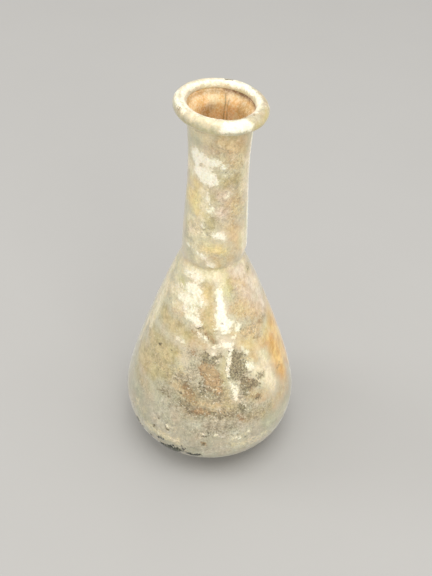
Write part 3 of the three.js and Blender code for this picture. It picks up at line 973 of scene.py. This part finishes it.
    # the crumbly lining of dried soil, with its smudges and scratches, a painted shadow in the
    # groove under the rim's inner lip and a painted shadow beside one scratch
    lining = fade(attribute("soil_lining"), 0.35, 0.65)
    crumbs = spots(0.5, detail=5, roughness=0.7, shift=2.2)
    patches = spots(3.0, detail=3, shift=3.1)
    thick = fade(maths("ADD", crumbs, maths("MULTIPLY", patches, 0.6)), 0.62, 1.0)
    soil = blend(thick, (*finish.lining, 1), (*finish.lining_deep, 1))
    smudge_and_shadow = maths("MULTIPLY", attribute("lining_smudge_and_shadow"), fade(crumbs, 0.3, 0.6, 0.5, 1))
    soil = blend(maths("MULTIPLY", smudge_and_shadow, 0.8), soil, (*finish.smudge_and_shadow, 1))
    # the scratch and its painted shadow, in the pit colour
    soil = blend(maths("MULTIPLY", attribute("lining_scratch_and_shadow"), 0.8), soil, (*finish.pit_and_shadow, 1))
    colour = blend(lining, colour, soil)
    rough = roughened(lining, rough, 0.7)
    bare = maths("MULTIPLY", bare, maths("SUBTRACT", 1.0, lining))
    height = maths("ADD", height, maths("MULTIPLY", maths("MULTIPLY", crumbs, lining), 1.5))

    # faint green and pink drifts, vertical streaks and fine grain, multiplied into everything
    greenish, pinkish = (0.975, 1.0, 0.985, 1), (1.03, 0.99, 0.99, 1)
    drifts = blend(fade(spots(4.5, detail=3, shift=1.7), 0.36, 0.64), greenish, pinkish)
    colour = blend(1.0, colour, drifts, "MULTIPLY")
    duller, brighter = (0.94, 0.935, 0.92, 1), (1.04, 1.04, 1.04, 1)
    streaked = blend(fade(streaks, 0.3, 0.7), duller, brighter)
    colour = blend(1.0, colour, streaked, "MULTIPLY")
    darker, lighter = (0.84, 0.83, 0.8, 1), (1.1, 1.1, 1.1, 1)
    fine = spots(0.45, detail=3, roughness=0.7, shift=0.9)
    grained = blend(fade(fine, 0.34, 0.66), darker, lighter)
    colour = blend(fade(speckling, 0, 0.8, 0.4, 1), colour, grained, "MULTIPLY")
    height = maths("ADD", height, maths("MULTIPLY", fine, 0.35))

    relief = {"Height": height, "Strength": 0.7, "Distance": 0.12 * MM}
    bump = add_node(tree, "ShaderNodeBump", relief)
    shader = add_node(
        tree,
        "ShaderNodeBsdfPrincipled",
        {
            "Base Color": colour,
            "Roughness": rough,
            "Normal": bump.outputs[0],
            "Transmission Weight": maths("MULTIPLY", bare, 0.2),
            "IOR": 1.5,
            "Coat Weight": 0.3,
            "Coat Roughness": 0.28,
            "Subsurface Weight": 0.2,
            "Subsurface Radius": (1.0, 0.8, 0.5),
            "Subsurface Scale": 1.5 * MM,
            "Sheen Weight": 0.35,
            "Sheen Roughness": 0.3,
        },
    )
    add_node(tree, "ShaderNodeOutputMaterial", {"Surface": shader.outputs[0]})
    return material


def painted_board(stage):
    """Matt painted board: even and without a highlight."""
    material = bpy.data.materials.new("matt_painted_board")
    material.use_nodes = True
    tree = material.node_tree
    shader = tree.nodes["Principled BSDF"]
    place = add_node(tree, "ShaderNodeTexCoord").outputs["Object"]
    clouds = add_node(tree, "ShaderNodeTexNoise", {"Vector": place, "Scale": 1 / (40 * MM)})
    lighter = tuple(min(1, c * 1.03) for c in stage.floor)
    sides = {0: clouds.outputs["Fac"], 6: (*stage.floor, 1), 7: (*lighter, 1)}
    mixed = add_node(tree, "ShaderNodeMix", sides, data_type="RGBA")
    tree.links.new(mixed.outputs[2], shader.inputs["Base Color"])
    shader.inputs["Roughness"].default_value = 0.85
    shader.inputs["Specular IOR Level"].default_value = 0.0
    return material


# ---------------------------------------------------------------- operators


class FLASK_OT_blow(bpy.types.Operator):
    """Model the flask in one piece and weather its skin"""

    bl_idname = "flask.blow"
    bl_label = "Blow and Weather the Flask"
    bl_options = {"REGISTER", "UNDO"}

    def execute(self, context):
        form, finish = context.scene.flask_form, context.scene.flask_finish
        section, outside_count = flask_section(form)
        flask = spin_section(section, outside_count, form.cage_sides)
        apply_modifier(flask, "SUBSURF", "smooth", levels=2, render_levels=2)
        weather_skin(flask, form)
        for name, size, strength in (
            ("hand_work", 18 * MM, form.unevenness),
            ("ripple", 2.5 * MM, form.ripple),
        ):
            texture = lump_texture(name, size)
            apply_modifier(
                flask, "DISPLACE", name, texture=texture, strength=strength, vertex_group="outside"
            )
        lean_neck(flask, form)
        flask.data.materials.append(weathered_glass(finish))
        bpy.context.view_layer.objects.active = flask
        flask.select_set(True)
        bpy.ops.object.shade_smooth()
        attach(flask, "root")
        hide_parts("flask")
        return {"FINISHED"}


class FLASK_OT_stage(bpy.types.Operator):
    """Lay the floor, hang the soft lights and set up the camera"""

    bl_idname = "flask.stage"
    bl_label = "Set the Stage"
    bl_options = {"REGISTER", "UNDO"}

    def execute(self, context):
        stage = context.scene.flask_stage
        start_clean()
        wide = 16  # metres, so that its edges lie far outside the camera's view
        bpy.ops.mesh.primitive_plane_add(size=wide, location=(0, 0, 0))
        floor = context.object
        floor.name = "floor"
        floor.data.materials.append(painted_board(stage))

        world = bpy.data.worlds.new("soft_room")
        context.scene.world = world
        world.use_nodes = True
        sky = world.node_tree.nodes["Background"].inputs
        sky["Color"].default_value = (1.0, 1.0, 1.0, 1)
        sky["Strength"].default_value = stage.room

        aim = Vector((0, 0, 50 * MM))
        # place and size in metres, then power in watts
        lights = {
            "overhead_softbox": ((0.1, -0.1, 0.95), 0.7, 4.5),
            "front_window": ((0.3, -0.78, 0.2), 0.36, 2.75),
            "left_softbox": ((-0.75, 0.1, 0.45), 0.4, 1.5),
        }
        for name, (where, size, watts) in lights.items():
            facing = (Vector(where) - aim).to_track_quat("Z", "Y").to_euler()
            bpy.ops.object.light_add(type="AREA", location=where, rotation=facing)
            light = context.object
            light.name = name
            light.data.size = size
            light.data.energy = watts
            light.visible_camera = False

        turn = (
            Matrix.Rotation(-stage.heading, 4, "Z")
            @ Matrix.Rotation(math.pi / 2 - stage.look_down, 4, "X")
            @ Matrix.Rotation(stage.roll, 4, "Z")
        )
        bpy.ops.object.camera_add(
            location=(0, -stage.distance, stage.height), rotation=turn.to_euler()
        )
        camera = context.object
        camera.name = "camera"
        camera.data.lens = stage.lens
        camera.data.sensor_width = 36
        camera.data.clip_start = 0.01
        context.scene.camera = camera
        context.scene.view_settings.view_transform = "Standard"
        return {"FINISHED"}


class FLASK_PT_panel(bpy.types.Panel):
    """Lists the pieces and the stage in the sidebar"""

    bl_label = "Ancient Perfume Flask"
    bl_idname = "FLASK_PT_panel"
    bl_space_type = "VIEW_3D"
    bl_region_type = "UI"
    bl_category = "Flask"

    def draw(self, context):
        for operator in OPERATORS:
            self.layout.operator(operator.bl_idname)
        scene = context.scene
        for settings in (scene.flask_form, scene.flask_finish, scene.flask_stage):
            box = self.layout.box()
            for name in settings.__annotations__:
                box.prop(settings, name)


OPERATORS = (FLASK_OT_blow, FLASK_OT_stage)
CLASSES = (FlaskForm, FlaskFinish, FlaskStage, *OPERATORS, FLASK_PT_panel)


def register():
    for each in CLASSES:
        bpy.utils.register_class(each)
    bpy.types.Scene.flask_form = PointerProperty(type=FlaskForm)
    bpy.types.Scene.flask_finish = PointerProperty(type=FlaskFinish)
    bpy.types.Scene.flask_stage = PointerProperty(type=FlaskStage)


def unregister():
    for name in ("flask_form", "flask_finish", "flask_stage"):
        delattr(bpy.types.Scene, name)
    for each in reversed(CLASSES):
        bpy.utils.unregister_class(each)


def main():
    """Makes the flask and the stage."""
    register()
    bpy.ops.flask.blow()
    bpy.ops.flask.stage()


if __name__ == "__main__":
    main()
